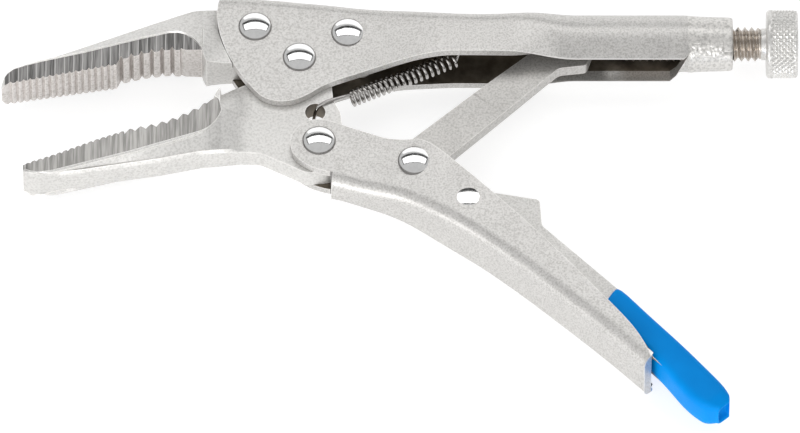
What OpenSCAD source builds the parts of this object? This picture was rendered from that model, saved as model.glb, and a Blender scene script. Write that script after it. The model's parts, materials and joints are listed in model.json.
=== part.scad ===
// Long-nose locking pliers, drawn lying flat with the jaws open.
// The origin is under the middle of the tool's outline, in the plane that the pliers lie on.
// Outlines are drawn about the jaw pivot, and placed() moves them to the origin.
// +X runs along the adjusting screw towards its knob, +Z is the axis of every pivot.

/* [Pivots] */
// Distance of the upper jaw's front rivet ahead of the jaw pivot
front_rivet_x = 9.2; // [8.8:0.1:9.6]
// Distance of the upper jaw's rear rivet behind the jaw pivot
rear_rivet_x = 10; // [9.6:0.1:10.4]
// Radius of the body of the five large rivets
rivet_r = 2.6; // [2.3:0.1:2.7]
// Radius of the domed rivet heads
rivet_head_r = 3.45; // [3.2:0.05:3.6]
// Height of the domed rivet heads
rivet_head_h = 1.1; // [0.9:0.05:1.2]
// Radial clearance of a pin in a part that turns on it
running_gap = 0.05; // [0.03:0.01:0.08]

/* [Handles] */
// Width of both handles across the jaws' tangs, where they are narrow
handle_front_w = 8.5; // [8.4:0.05:8.6]
// Width of the fixed handle where the hand holds it
fixed_grip_w = 14.2; // [14:0.1:14.2]
// Width of the movable handle where the hand holds it
movable_grip_w = 13.8; // [13.4:0.1:14]
// Thickness of the pressed handle steel
sheet_t = 1.8; // [1.75:0.05:1.85]
// Outer radius of the threaded sleeve at the fixed handle's end
sleeve_r = 5.6; // [5.4:0.1:5.8]

/* [Jaws] */
// Width of a jaw at its tip
jaw_tip_w = 8.3; // [8:0.1:8.6]
// Width of a jaw at the rear end of its teeth
jaw_rear_w = 11; // [10.6:0.1:11.2]
// Width of the narrow back of a jaw
jaw_back_w = 4.7; // [4.2:0.1:5]
// Width of a jaw between the handle's walls
tang_w = 4.8; // [4.7:0.05:4.85]
// Spacing of the fine front teeth along the jaw
fine_pitch = 1.3; // [1.2:0.05:1.4]
// Depth of the fine front teeth
fine_depth = 0.35; // [0.25:0.05:0.45]
// Spacing of the coarse rear teeth along the jaw
coarse_pitch = 2.05; // [1.95:0.05:2.15]
// Depth of the coarse rear teeth
coarse_depth = 0.65; // [0.5:0.05:0.8]

/* [Toggle and lever] */
// Thickness of the toggle link
link_t = 3; // [2.6:0.1:3.4]
// Width of the release lever across the handle
lever_w = 6.4; // [6:0.1:6.8]
// Thickness of the dipped coat on the lever's end
dip_t = 0.8; // [0.6:0.05:0.9]

/* [Screw and spring] */
// Crest radius of the adjusting screw's thread
thread_r = 3.6; // [3.5:0.05:3.65]
// Pitch of the adjusting screw's thread
thread_pitch = 1.4; // [1.25:0.05:1.5]
// Length of the knurled knob
knob_l = 6.6; // [6:0.1:7]
// Outer radius of the tension spring's coil
coil_r = 1.85; // [1.7:0.05:1.9]
// Diameter of the spring wire
wire_d = 0.7; // [0.6:0.05:0.75]

/* [Hidden] */
$fn = 48;
cut = 0.2;
through = 10;
arc_steps = 6;
flare_steps = 8;

// Pivot axes in the XY plane, from the jaw pivot at [0, 0]
front_rivet = [-front_rivet_x, 7.6];
rear_rivet = [rear_rivet_x, 6.1];
handle_pivot = [4.1, -20.6];
toggle_pivot = [23.8, -26.6];
lever_pivot = [35, -36.1];
screw_y = 6;

// Places along the screw's axis
link_end_x = 60.8;
tip_gap = 2.1;
screw_tip_l = 4;
screw_x = link_end_x + tip_gap + screw_tip_l;
sleeve_x = 79;
sleeve_end_x = 90.3;
neck_x = 95.4;
knob_x = 96.6;
tip_x = -61.6;
tooth_rear_x = -20.4;
lower_rear_x = -17.4;

// The tool lies on the fixed handle's wall and the knob, which are equally wide
mid_z = fixed_grip_w / 2;
knob_r = mid_z;
outline_centre = [(tip_x + knob_x + knob_l) / 2, -34.94];

// Half widths, pin sizes and colours
front_half = handle_front_w / 2;
small_pin_r = 1.8;
small_head_r = 2.8;
small_head_h = 0.2;
hub_r = 6.4;
tang_gap = 0.4;
steel = [0.80, 0.79, 0.77];
ground_steel = [0.62, 0.62, 0.61];
vinyl_blue = [0, 0.5, 0.85];

// Both handles widen from the tangs to the grip along a smooth step
function smooth(t) = let (u = max(0, min(1, t))) u * u * (3 - 2 * u);
function flare(x, grip_half, length) =
    front_half + (grip_half - front_half) * smooth((x - flare_x) / length);
flare_x = 9;
fixed_flare_l = 22;
movable_flare_l = 26;

// Corner rounding: each corner is [x, y, radius], and becomes an arc tangent to both of its edges
function unit(v) = v / norm(v);
function corner_arc(before, at, after, r) =
    let (to_before = unit([before[0] - at[0], before[1] - at[1]]),
         to_after = unit([after[0] - at[0], after[1] - at[1]]),
         half = acos(max(-1, min(1, to_before * to_after))) / 2,
         centre = [at[0], at[1]] + unit(to_before + to_after) * (r / sin(half)),
         first = [at[0], at[1]] + to_before * (r / tan(half)) - centre,
         last = [at[0], at[1]] + to_after * (r / tan(half)) - centre,
         start = atan2(first[1], first[0]),
         turn = (atan2(last[1], last[0]) - start + 540) % 360 - 180)
    [for (i = [0:arc_steps])
        let (angle = start + turn * i / arc_steps) centre + r * [cos(angle), sin(angle)]];
function rounded(corners) =
    [for (i = [0:len(corners) - 1])
        let (n = len(corners), at = corners[i])
        each (at[2] == 0 ? [[at[0], at[1]]]
            : corner_arc(corners[(i + n - 1) % n], at, corners[(i + 1) % n], at[2]))];

// A plate parallel to the middle plane, from one distance above it to another
module plate(low, high, corners) {
    translate([0, 0, low]) linear_extrude(high - low) polygon(rounded(corners));
}

// A plate shape seen from above the handle, in X and Z, cut right through in Y
module plan_cut(corners) {
    rotate([90, 0, 0]) translate([0, 0, -60]) linear_extrude(160) polygon(corners);
}

// A pin or bore across the tool at a pivot
module crossbar(at, r, low, high) {
    translate([at[0], at[1], low]) cylinder(r = r, h = high - low);
}

// Moves a shape drawn about the jaw pivot and the middle plane to its place on the surface
module placed() {
    translate([-outline_centre[0], -outline_centre[1], mid_z]) children();
}

// A dome of a given base radius and height, standing on the XY plane
module dome(r, h) {
    ball_r = (r * r + h * h) / (2 * h);
    intersection() {
        translate([0, 0, h - ball_r]) sphere(r = ball_r, $fn = 64);
        cylinder(r = r + cut, h = h + cut);
    }
}

// A rivet through both walls of a handle, with a domed head at each end
module rivet(at, half_w, body_r, head_r, head_h) {
    color(steel) placed() {
        crossbar(at, body_r, -half_w, half_w);
        for (side = [0, 1]) mirror([0, 0, side]) translate([at[0], at[1], half_w]) dome(head_r, head_h);
    }
}

// Flat spot faces on a flared handle, for a rivet's two heads to sit on
module spot_faces(at, half_w) {
    for (side = [0, 1]) mirror([0, 0, side])
        crossbar(at, rivet_head_r + running_gap, half_w, half_w + through);
}

// Plan of a flared handle, less an inset on each side, from start_x to end_x
function flare_side(start_x, end_x, grip_half, length, inset) =
    concat([[start_x, front_half - inset]],
           [for (i = [0:flare_steps]) let (x = flare_x + length * i / flare_steps)
               [x, flare(x, grip_half, length) - inset]],
           [[end_x, grip_half - inset]]);
function both_sides(side) = concat(side, [for (i = [len(side) - 1:-1:0]) [side[i][0], -side[i][1]]]);

// Outline of the fixed handle's channel, open below, ahead of the stretch that closes round the screw
wide_end_x = 43;
lipped_x = 57;
fixed_back = [[43, 10.2], [30, 10.4], [21, 11.5], [12, 13.3], [0, 14.7]];
fixed_wall = concat([[-17, 16.4, 4], [-17.6, 7.5, 14], [-10, -10.9, 6.5], [1, -10.9, 7], [9.5, -5, 14],
                     [27, -0.2, 14], [wide_end_x, -0.2, 0]],
                    [for (p = fixed_back) [p[0], p[1], 0]]);
fixed_hollow = concat([[-25, 16.4 - sheet_t, 0], [-25, -20, 0], [wide_end_x + cut, -20, 0]],
                      [for (p = fixed_back) [p[0] + (p[0] == wide_end_x ? cut : 0), p[1] - sheet_t, 0]],
                      [[-17, 16.4 - sheet_t, 0]]);
lip_half = 4.05;
slot_half = 1.95;
lip_y = -0.6;
closed_r = 6;
closed_bore_r = 4.2;

// Outer shape of the fixed handle's section, about the screw's axis: wide and flat, then closed in and round
module wide_section(inset, low) {
    polygon([[-mid_z + inset, low], [mid_z - inset, low], [mid_z - inset, 10.2 - inset - screw_y],
             [-mid_z + inset, 10.2 - inset - screw_y]]);
}
module closed_section(r, half, low) {
    circle(r = r);
    polygon([[-r, 0], [-half, low], [half, low], [r, 0]]);
}
// A flat slice of a section, standing across the screw's axis at x
module slice(x) {
    translate([x, screw_y, 0]) rotate([0, 90, 0]) linear_extrude(0.01) children();
}

module closing_stretch() {
    difference() {
        hull() {
            slice(wide_end_x - 0.01) wide_section(0, -0.2 - screw_y);
            slice(lipped_x) closed_section(closed_r, lip_half, lip_y - screw_y, $fn = 32);
        }
        hull() {
            slice(wide_end_x - cut) wide_section(sheet_t, -through);
            slice(lipped_x + cut) closed_section(closed_bore_r, slot_half, -through, $fn = 32);
        }
    }
}

module closed_stretch() {
    translate([lipped_x, screw_y, 0]) rotate([0, 90, 0]) linear_extrude(sleeve_x + 1 - lipped_x)
        difference() {
            closed_section(closed_r, lip_half, lip_y - screw_y);
            circle(r = closed_bore_r);
            translate([-slot_half, -through]) square([slot_half * 2, through]);
        }
}

module fixed_handle() {
    color(steel) placed() difference() {
        union() {
            difference() {
                intersection() {
                    plate(-mid_z, mid_z, fixed_wall);
                    plan_cut(both_sides(flare_side(-30, wide_end_x + 1, mid_z, fixed_flare_l, 0)));
                }
                intersection() {
                    plate(-mid_z, mid_z, fixed_hollow);
                    plan_cut(both_sides(flare_side(-30, wide_end_x + 1, mid_z, fixed_flare_l, sheet_t)));
                }
            }
            closing_stretch();
            closed_stretch();
            translate([sleeve_x, screw_y, 0]) rotate([0, 90, 0])
                cylinder(r = sleeve_r, h = sleeve_end_x - sleeve_x);
            spring_anchor();
        }
        translate([sleeve_x - cut, screw_y, 0]) rotate([0, 90, 0])
            cylinder(r = thread_r + running_gap, h = sleeve_end_x);
        crossbar(front_rivet, rivet_r, -through, through);
        crossbar(rear_rivet, rivet_r, -through, through);
        crossbar([0, 0], rivet_r, -through, through);
        spot_faces(rear_rivet, front_half);
    }
}

// Tab under the handle's back that the spring's rear hook goes through
anchor = [37.4, 4.7];
anchor_t = 1.2;
module spring_anchor() {
    difference() {
        plate(-anchor_t / 2, anchor_t / 2, [[35, 9.4, 0], [35, 2.9, 1.2], [39.8, 2.9, 1.2], [39.8, 9.4, 0]]);
        crossbar(anchor, wire_d / 2 + 0.3, -anchor_t, anchor_t);
    }
}

// Plan of a jaw: it widens evenly from its tip to the rear of its teeth, and narrows to its tang
function jaw_half(x) = (jaw_tip_w + (jaw_rear_w - jaw_tip_w) * (x - tip_x) / (tooth_rear_x - tip_x)) / 2;
module jaw_plan(wide_until) {
    plan_cut(both_sides([[tip_x - 1, jaw_half(tip_x - 1)], [wide_until, jaw_half(wide_until)],
                         [wide_until + 2, tang_w / 2], [30, tang_w / 2]]));
}

// A row of tooth grooves across a jaw, from one point to another, opening towards side (+1 up, -1 down)
module grooves(from, to, pitch, depth, side) {
    step = unit(to - from) * pitch;
    count = floor(norm(to - from) / pitch);
    angle = atan2(to[1] - from[1], to[0] - from[0]);
    for (i = [0:count])
        translate([from[0] + step[0] * i, from[1] + step[1] * i, 0]) rotate(angle)
            linear_extrude(2 * through, center = true)
                polygon([[0, -side * depth],
                         [pitch * 0.45, side * depth * 0.6], [-pitch * 0.45, side * depth * 0.6]]);
}

// The upper jaw: a toothed head, a ridge that slopes to its narrow back, and a tang between the walls
upper_teeth = [[-61.6, -6.6], [-37.7, -2.1], [-32, 0.6], [-22, 1.4]];
upper_head = [[-61.6, -6.6, 0], [-37.7, -2.1, 0], [-32, 0.6, 4], [-20.4, 1.4, 0], [-20, -0.9, 0.8],
              [-14, 0, 0], [-14, 10, 0], [-23, 9, 3], [-28, 6, 3], [-56, -2.1, 3], [-61.2, -3.7, 2.2]];
upper_ridge_front = [[-55, -2.5, 0], [-55, -3.3, 0], [-46, -0.5, 0], [-46, 0.1, 0]];
upper_ridge_rear = [[-25, 6, 0], [-25, 1.2, 0], [-20.4, 1.2, 0], [-20.4, 6, 0]];
upper_back = [[-52.3, 1.2, 0], [-36.9, 7.2, 0], [-22.5, 12.9, 0], [-20, 13.2, 0], [-18.6, 1, 0]];
upper_tang = [[-21, 13.4, 2], [-21, -0.9, 0.5], [-8, 0.3, 0], [14.5, -1.5, 2], [14.5, 10.5, 2],
              [-14, 14, 2]];
module upper_jaw() {
    color(steel) placed() difference() {
        union() {
            intersection() {
                plate(-through, through, upper_head);
                jaw_plan(tooth_rear_x);
            }
            hull() {
                plate(-jaw_half(-50), jaw_half(-50), upper_ridge_front);
                plate(-jaw_half(-22), jaw_half(-22), upper_ridge_rear);
                plate(-jaw_back_w / 2, jaw_back_w / 2, upper_back);
            }
            difference() {
                plate(-tang_w / 2, tang_w / 2, upper_tang);
                crossbar([0, 0], hub_r + tang_gap, -through, through);
            }
        }
        grooves(upper_teeth[0] + [2.6, 0.5], upper_teeth[1], fine_pitch, fine_depth, -1);
        grooves(upper_teeth[1] + [1.8, 0.9], upper_teeth[2], coarse_pitch, coarse_depth, -1);
        grooves(upper_teeth[2] + [1.9, 0.3], upper_teeth[3] - [3.6, 0], coarse_pitch, coarse_depth, -1);
        crossbar(front_rivet, rivet_r, -through, through);
        crossbar(rear_rivet, rivet_r, -through, through);
    }
}

// The lower jaw: a toothed head, a ridge that slopes to its narrow underside, and a hub on the pivot
lower_teeth = [[-56, -25.9], [-35.6, -18.5], [-25.5, -16], [-18, -11.3]];
lower_head = [[-56.5, -26, 0], [-35.6, -18.5, 0], [-25.5, -16, 6], [-17.7, -11, 0], [-17.3, -8.6, 0.8],
              [-13, -6.2, 0], [-11, -16, 0], [-20, -19.5, 4], [-54.5, -28.2, 1.5], [-56.6, -27.4, 1]];
lower_ridge_front = [[-55.5, -26.6, 0], [-54.2, -28, 0], [-45, -24.9, 0], [-45, -24.3, 0]];
lower_ridge_rear = [[-24, -18.5, 0], [-24, -19.8, 0], [-17.4, -16, 0], [-17.4, -14, 0]];
lower_under = [[-53, -28.7, 0], [-45, -27.8, 0], [-20, -23, 0], [-14, -22.3, 0], [-12, -16, 0]];
lower_hub = [[-18, -9, 1.5], [-19, -22.9, 0.5], [-9, -21.6, 8], [1.5, -27.5, 4], [10, -26.5, 5],
             [8.5, -12.5, 2], [7, -9.2, 0.5], [6.6, -4, 0.5], [4, 5.5, 3], [-5, 5.5, 3], [-8, -4.6, 2]];
below_hub = [[-30, -5, 0], [-30, -30, 0], [20, -30, 0], [20, -4, 0], [0, -2, 0]];
module lower_jaw() {
    color(steel) placed() difference() {
        union() {
            intersection() {
                plate(-through, through, lower_head);
                jaw_plan(lower_rear_x);
            }
            hull() {
                plate(-jaw_half(-50), jaw_half(-50), lower_ridge_front);
                plate(-jaw_half(-24), jaw_half(-24), lower_ridge_rear);
                plate(-jaw_back_w / 2, jaw_back_w / 2, lower_under);
            }
            intersection() {
                plate(-tang_w / 2, tang_w / 2, lower_hub);
                union() {
                    crossbar([0, 0], hub_r, -through, through);
                    plate(-through, through, below_hub);
                }
            }
        }
        grooves(lower_teeth[0] + [1.6, 0.6], lower_teeth[1], fine_pitch, fine_depth, 1);
        grooves(lower_teeth[1] + [1.9, 0.5], lower_teeth[2], coarse_pitch, coarse_depth, 1);
        grooves(lower_teeth[2] + [1.7, 1.1], lower_teeth[3], coarse_pitch, coarse_depth, 1);
        crossbar([0, 0], rivet_r + running_gap, -through, through);
        crossbar(handle_pivot, rivet_r + running_gap, -through, through);
        crossbar(spring_hole, spring_hole_r, -through, through);
    }
}

module upper_jaw_rivet_front() {
    rivet(front_rivet, front_half, rivet_r, rivet_head_r, rivet_head_h);
}

module upper_jaw_rivet_rear() {
    rivet(rear_rivet, front_half, rivet_r, rivet_head_r, rivet_head_h);
}

module jaw_pivot_rivet() {
    rivet([0, 0], front_half, rivet_r, rivet_head_r, rivet_head_h);
}

module handle_pivot_rivet() {
    rivet(handle_pivot, front_half, rivet_r, rivet_head_r, rivet_head_h);
}

movable_half = movable_grip_w / 2;
toggle_half = flare(toggle_pivot[0], movable_half, movable_flare_l);
module toggle_pivot_rivet() {
    rivet(toggle_pivot, toggle_half, rivet_r, rivet_head_r, rivet_head_h);
}

module release_lever_rivet() {
    rivet(lever_pivot, movable_half, small_pin_r, small_head_r, small_head_h);
}

movable_wall = [[-1.9, -15, 5.4], [-1.9, -26.6, 5.6], [5.9, -28.1, 1.2], [6.6, -30.9, 1.5], [20.8, -35.4, 24],
                [45.5, -52.5, 90], [70.6, -76.3, 0.6], [72, -73.6, 1.2], [67, -65, 8], [62.6, -57.2, 3],
                [34, -29.2, 8], [25.5, -20.6, 4], [18, -20.9, 5], [6, -15, 2.5]];
movable_hollow = [[-10, -10, 0], [-10, -27, 0], [4, -28.1, 0], [8, -29.4, 4], [20.8, -33.4, 22],
                  [44.4, -49.4, 88], [76, -79.2, 0], [80, -60, 0], [60, -10, 0]];
module movable_handle() {
    color(steel) placed() difference() {
        intersection() {
            plate(-movable_half, movable_half, movable_wall);
            plan_cut(both_sides(flare_side(-30, 90, movable_half, movable_flare_l, 0)));
        }
        intersection() {
            plate(-movable_half, movable_half, movable_hollow);
            plan_cut(both_sides(flare_side(-30, 90, movable_half, movable_flare_l, sheet_t)));
        }
        crossbar(handle_pivot, rivet_r, -through, through);
        crossbar(toggle_pivot, rivet_r, -through, through);
        crossbar(lever_pivot, small_pin_r, -through, through);
        spot_faces(toggle_pivot, toggle_half);
    }
}

module toggle_link() {
    color(steel) placed() difference() {
        plate(-link_t / 2, link_t / 2,
              [[20.6, -31.6, 3], [29.3, -24.2, 3], [53.9, -0.4, 2], [59.6, 0, 1.5], [link_end_x, 5, 2],
               [57.5, 8, 3], [49.5, 4.6, 6], [22.5, -19.2, 4], [17.4, -26.6, 3.2]]);
        crossbar(toggle_pivot, rivet_r + running_gap, -through, through);
    }
}

lever_blade = [[31.6, -34.8, 2.2], [34.6, -32.4, 2.4], [41, -32.9, 1], [49.6, -34.5, 1], [50, -40.8, 2],
               [66.2, -57, 2], [87.1, -81.2, 2.2], [84.6, -86, 2.2], [72, -72.4, 2], [61.5, -62, 8],
               [47, -48.4, 8], [33, -39.6, 2.4]];
module release_lever() {
    color(steel) placed() difference() {
        plate(-lever_w / 2, lever_w / 2, lever_blade);
        crossbar(lever_pivot, small_pin_r + running_gap, -through, through);
    }
}

module release_lever_grip() {
    color(vinyl_blue) placed() difference() {
        plate(-lever_w / 2 - dip_t, lever_w / 2 + dip_t,
              [[61.6, -62.4, 0.5], [62.8, -57.6, 1], [66.6, -55.4, 2.2], [89, -81.4, 3], [85, -87.8, 3],
               [71.2, -72.8, 3]]);
        plate(-lever_w / 2, lever_w / 2, lever_blade);
    }
}

// The spring is drawn as the closed outer shape of its coil. At each end a straight wire passes over
// the plate that it pulls on, and a hook goes down into the plate's hole.
spring_hole = [3.3, -12.4];
spring_hole_r = 2.1;
hook_at = [4.2, -11.4];
coil_from = [10.6, -7.6];
coil_to = [32.2, 2.3];
wire_gap = 0.06;
front_wire_z = tang_w / 2 + wire_d / 2 + wire_gap;
rear_wire_z = anchor_t / 2 + wire_d / 2 + wire_gap;
module bar_between(from, to, z, r) {
    translate([from[0], from[1], z]) rotate(atan2(to[1] - from[1], to[0] - from[0])) rotate([0, 90, 0])
        cylinder(r = r, h = norm(to - from));
}
module tension_spring() {
    color(ground_steel) placed() {
        bar_between(coil_from, coil_to, 0, coil_r);
        crossbar(coil_from, wire_d / 2, 0, front_wire_z + wire_d / 2);
        bar_between(hook_at, coil_from, front_wire_z, wire_d / 2);
        crossbar(hook_at, wire_d / 2, 0, front_wire_z + wire_d / 2);
        bar_between(coil_to, anchor, rear_wire_z, wire_d / 2);
        crossbar(anchor, wire_d / 2, 0, rear_wire_z + wire_d / 2);
    }
}

// Ring grooves at the thread's pitch stand for its helix
groove_depth = 0.5;
module threads(from, to) {
    for (x = [from:thread_pitch:to])
        translate([x, 0, 0]) rotate([0, 90, 0]) rotate_extrude()
            polygon([[thread_r - groove_depth, 0], [thread_r + cut, -thread_pitch * 0.4],
                     [thread_r + cut, thread_pitch * 0.4]]);
}

// The screw's smooth end, on a pin that the threaded shank turns on
tip_r = 2.9;
tip_nose_r = 2.2;
tip_pin_r = 1.6;
tip_pin_l = 3;
module screw_tip() {
    color(steel) placed() translate([screw_x - screw_tip_l, screw_y, 0]) rotate([0, 90, 0]) {
        cylinder(r1 = tip_nose_r, r2 = tip_r, h = 1);
        translate([0, 0, 1]) cylinder(r = tip_r, h = screw_tip_l - 1 - running_gap);
        cylinder(r = tip_pin_r, h = screw_tip_l + tip_pin_l);
    }
}

module adjusting_screw() {
    color(steel) placed() translate([0, screw_y, 0]) difference() {
        union() {
            translate([screw_x, 0, 0]) rotate([0, 90, 0]) cylinder(r = thread_r, h = neck_x - screw_x);
            translate([neck_x - cut, 0, 0]) rotate([0, 90, 0])
                cylinder(r = thread_r - groove_depth, h = knob_x - neck_x + cut);
        }
        threads(screw_x + thread_pitch, neck_x - thread_pitch / 2);
        translate([screw_x - cut, 0, 0]) rotate([0, 90, 0])
            cylinder(r = tip_pin_r + running_gap, h = tip_pin_l + cut + running_gap);
    }
}

knob_edge_r = 0.8;
module screw_knob() {
    color(steel) placed() translate([knob_x, screw_y, 0]) rotate([0, 90, 0]) rotate_extrude()
        polygon(rounded([[0, 0, 0], [knob_r, 0, knob_edge_r], [knob_r, knob_l, knob_edge_r],
                         [0, knob_l, 0]]));
}

fixed_handle();
upper_jaw();
upper_jaw_rivet_front();
upper_jaw_rivet_rear();
jaw_pivot_rivet();
lower_jaw();
handle_pivot_rivet();
movable_handle();
toggle_pivot_rivet();
toggle_link();
release_lever_rivet();
release_lever();
release_lever_grip();
tension_spring();
screw_tip();
adjusting_screw();
screw_knob();
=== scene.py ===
import json
import math

import bmesh
import bpy
from mathutils import Matrix, Vector, noise
from mathutils.geometry import tessellate_polygon


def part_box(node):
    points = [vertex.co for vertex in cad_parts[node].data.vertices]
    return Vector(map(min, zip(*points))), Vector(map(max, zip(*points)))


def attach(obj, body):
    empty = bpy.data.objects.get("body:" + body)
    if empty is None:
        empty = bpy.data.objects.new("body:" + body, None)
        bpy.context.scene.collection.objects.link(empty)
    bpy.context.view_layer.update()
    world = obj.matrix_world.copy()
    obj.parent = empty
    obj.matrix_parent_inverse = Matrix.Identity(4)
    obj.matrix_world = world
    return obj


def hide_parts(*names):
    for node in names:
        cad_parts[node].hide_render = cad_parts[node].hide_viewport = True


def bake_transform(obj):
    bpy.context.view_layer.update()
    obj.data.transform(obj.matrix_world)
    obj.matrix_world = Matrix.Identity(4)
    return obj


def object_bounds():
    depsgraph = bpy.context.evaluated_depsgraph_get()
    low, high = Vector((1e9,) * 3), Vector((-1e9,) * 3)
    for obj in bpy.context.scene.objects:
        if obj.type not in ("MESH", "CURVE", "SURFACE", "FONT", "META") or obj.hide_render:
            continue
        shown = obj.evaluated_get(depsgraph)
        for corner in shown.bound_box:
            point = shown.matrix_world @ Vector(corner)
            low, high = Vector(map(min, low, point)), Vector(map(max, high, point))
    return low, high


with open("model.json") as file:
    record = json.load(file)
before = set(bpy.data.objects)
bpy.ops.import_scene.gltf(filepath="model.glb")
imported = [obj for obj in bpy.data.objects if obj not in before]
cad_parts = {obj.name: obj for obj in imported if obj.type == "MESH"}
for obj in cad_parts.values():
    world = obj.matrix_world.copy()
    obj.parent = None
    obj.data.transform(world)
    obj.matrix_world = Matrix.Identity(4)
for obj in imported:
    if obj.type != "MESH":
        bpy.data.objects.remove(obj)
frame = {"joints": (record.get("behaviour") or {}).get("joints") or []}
cad_low, cad_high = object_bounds()

# Shapes are drawn in millimetres from the jaw pivot: x along the adjusting screw, y towards the
# fixed handle's back, z up from the middle plane. place() takes them to the frame, in metres.
MM = 0.001
JOINTS = {joint["name"]: joint for joint in frame["joints"]}
PIVOT = Vector(JOINTS["jaw_pivot"]["pos_m"])

BEVEL_ANGLE = math.radians(40)
ARC_STEPS = 8
HOLE_SIDES = 40
TURNED_SIDES = 64
# Turned shapes end at a tiny radius on their axis, so that every ring has the same number of points
POLE_R = 0.02


def place(x, y, z):
    return PIVOT + Vector((x, y, z)) * MM


def drawn(point):
    return (Vector(point) - PIVOT) / MM


def node_box(node):
    low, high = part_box(node)
    return drawn(low), drawn(high)


def smooth_step(value, start, end):
    t = max(0.0, min(1.0, (value - start) / (end - start)))
    return t * t * (3 - 2 * t)


def mix(a, b, t):
    return a + (b - a) * t


def interpolate(x, points):
    """Height at x of the open outline through (x, y) points, straight between them."""
    if x <= points[0][0]:
        return points[0][1]
    for (x0, y0), (x1, y1) in zip(points, points[1:]):
        if x <= x1:
            return mix(y0, y1, (x - x0) / (x1 - x0))
    return points[-1][1]


def catmull_rom(a, b, c, d, t):
    """Value at t of the smooth curve from b to c, whose slopes come from a and d."""
    square = (2 * a - 5 * b + 4 * c - d) * t * t
    cube = (3 * b - a - 3 * c + d) * t ** 3
    return 0.5 * (2 * b + (c - a) * t + square + cube)


def through(rows, steps):
    """Rows of numbers, with a smooth curve through them in steps between each two."""
    out = []
    for i in range(len(rows) - 1):
        before, here, after = rows[max(i - 1, 0)], rows[i], rows[i + 1]
        beyond = rows[min(i + 2, len(rows) - 1)]
        for k in range(steps):
            t = k / steps
            out.append(tuple(catmull_rom(*four, t) for four in zip(before, here, after, beyond)))
    out.append(tuple(rows[-1]))
    return out


def rounded(corners):
    """Closed outline of (x, y, radius) corners, each an arc tangent to both of its edges."""
    out = []
    for i, (x, y, radius) in enumerate(corners):
        at = Vector((x, y))
        if radius == 0:
            out.append(at)
            continue
        to_before = (Vector(corners[i - 1][:2]) - at).normalized()
        to_after = (Vector(corners[(i + 1) % len(corners)][:2]) - at).normalized()
        half = to_before.angle(to_after) / 2
        centre = at + (to_before + to_after).normalized() * (radius / math.sin(half))
        first = at + to_before * (radius / math.tan(half)) - centre
        last = at + to_after * (radius / math.tan(half)) - centre
        turn = first.angle_signed(last)
        for k in range(ARC_STEPS + 1):
            out.append(centre + Matrix.Rotation(-turn * k / ARC_STEPS, 2) @ first)
    return out


# ---------------------------------------------------------------- mesh pieces
def build(name, points, faces, material, inner=None):
    mesh = bpy.data.meshes.new(name)
    mesh.from_pydata([place(*p) for p in points], [], faces)
    mesh.validate()
    bm = bmesh.new()
    bm.from_mesh(mesh)
    bmesh.ops.remove_doubles(bm, verts=bm.verts, dist=1e-6)
    bmesh.ops.recalc_face_normals(bm, faces=bm.faces)
    bm.to_mesh(mesh)
    bm.free()
    mesh.materials.append(material)
    if inner:
        mesh.materials.append(inner)
    obj = bpy.data.objects.new(name, mesh)
    bpy.context.scene.collection.objects.link(obj)
    return obj


def add_modifier(obj, kind, **settings):
    modifier = obj.modifiers.new(kind.lower(), kind)
    for key, value in settings.items():
        setattr(modifier, key, value)
    return modifier


def edge_bevel(obj, width, segments=3):
    add_modifier(obj, "BEVEL", width=width * MM, segments=segments, limit_method="ANGLE",
                 angle_limit=BEVEL_ANGLE, use_clamp_overlap=True)


def settle(obj, body, sharp=38, replaces=()):
    """Applies the modifiers, shades the mesh smooth up to sharp degrees, and joins it to its body."""
    graph = bpy.context.evaluated_depsgraph_get()
    mesh = bpy.data.meshes.new_from_object(obj.evaluated_get(graph))
    obj.modifiers.clear()
    obj.data = mesh
    mesh.polygons.foreach_set("use_smooth", [True] * len(mesh.polygons))
    mesh.set_sharp_from_angle(angle=math.radians(sharp))
    add_modifier(obj, "WEIGHTED_NORMAL", keep_sharp=True)
    if replaces:
        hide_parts(*replaces)
    if body:
        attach(obj, body)
    return obj


def loft(sections):
    """Points and faces of a capped skin over closed sections, all with the same number of points."""
    count = len(sections[0])
    points = [p for section in sections for p in section]
    faces = []
    for i in range(len(sections) - 1):
        for k in range(count):
            a, b = i * count + k, i * count + (k + 1) % count
            faces.append((a, b, b + count, a + count))
    faces.append(tuple(range(count)))
    faces.append(tuple(range(len(points) - count, len(points))))
    return points, faces


def mirrored(half):
    """A closed ring from half a section: (y, z) points from one edge of the middle plane to the other."""
    return half + [(y, -z) for y, z in reversed(half[1:-1])]


def slab(outline, low, high, holes=()):
    """Points and faces of an outline, with round holes (x, y, radius), between two heights."""
    loops = [[Vector((p[0], p[1], 0)) for p in outline]]
    for x, y, radius in holes:
        angles = [math.tau * k / HOLE_SIDES for k in range(HOLE_SIDES)]
        loops.append([Vector((x + radius * math.cos(a), y + radius * math.sin(a), 0)) for a in angles])
    flat = [p for one in loops for p in one]
    count = len(flat)
    points = [(p.x, p.y, low) for p in flat] + [(p.x, p.y, high) for p in flat]
    faces = []
    for a, b, c in tessellate_polygon(loops):
        faces.append((a, b, c))
        faces.append((a + count, b + count, c + count))
    start = 0
    for one in loops:
        for k in range(len(one)):
            a, b = start + k, start + (k + 1) % len(one)
            faces.append((a, b, b + count, a + count))
        start += len(one)
    return points, faces


def turned(profile, centre, axis):
    """Points and faces of a profile of (along, radius) turned about an axis through a centre."""
    points, faces = [], []
    for along, radius in profile:
        for k in range(TURNED_SIDES):
            angle = math.tau * k / TURNED_SIDES
            u, v = radius * math.cos(angle), radius * math.sin(angle)
            offset = (u, v, along) if axis == "z" else (along, u, v)
            points.append(tuple(c + o for c, o in zip(centre, offset)))
    for i in range(len(profile) - 1):
        for k in range(TURNED_SIDES):
            a, b = i * TURNED_SIDES + k, i * TURNED_SIDES + (k + 1) % TURNED_SIDES
            faces.append((a, b, b + TURNED_SIDES, a + TURNED_SIDES))
    return points, faces


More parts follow.
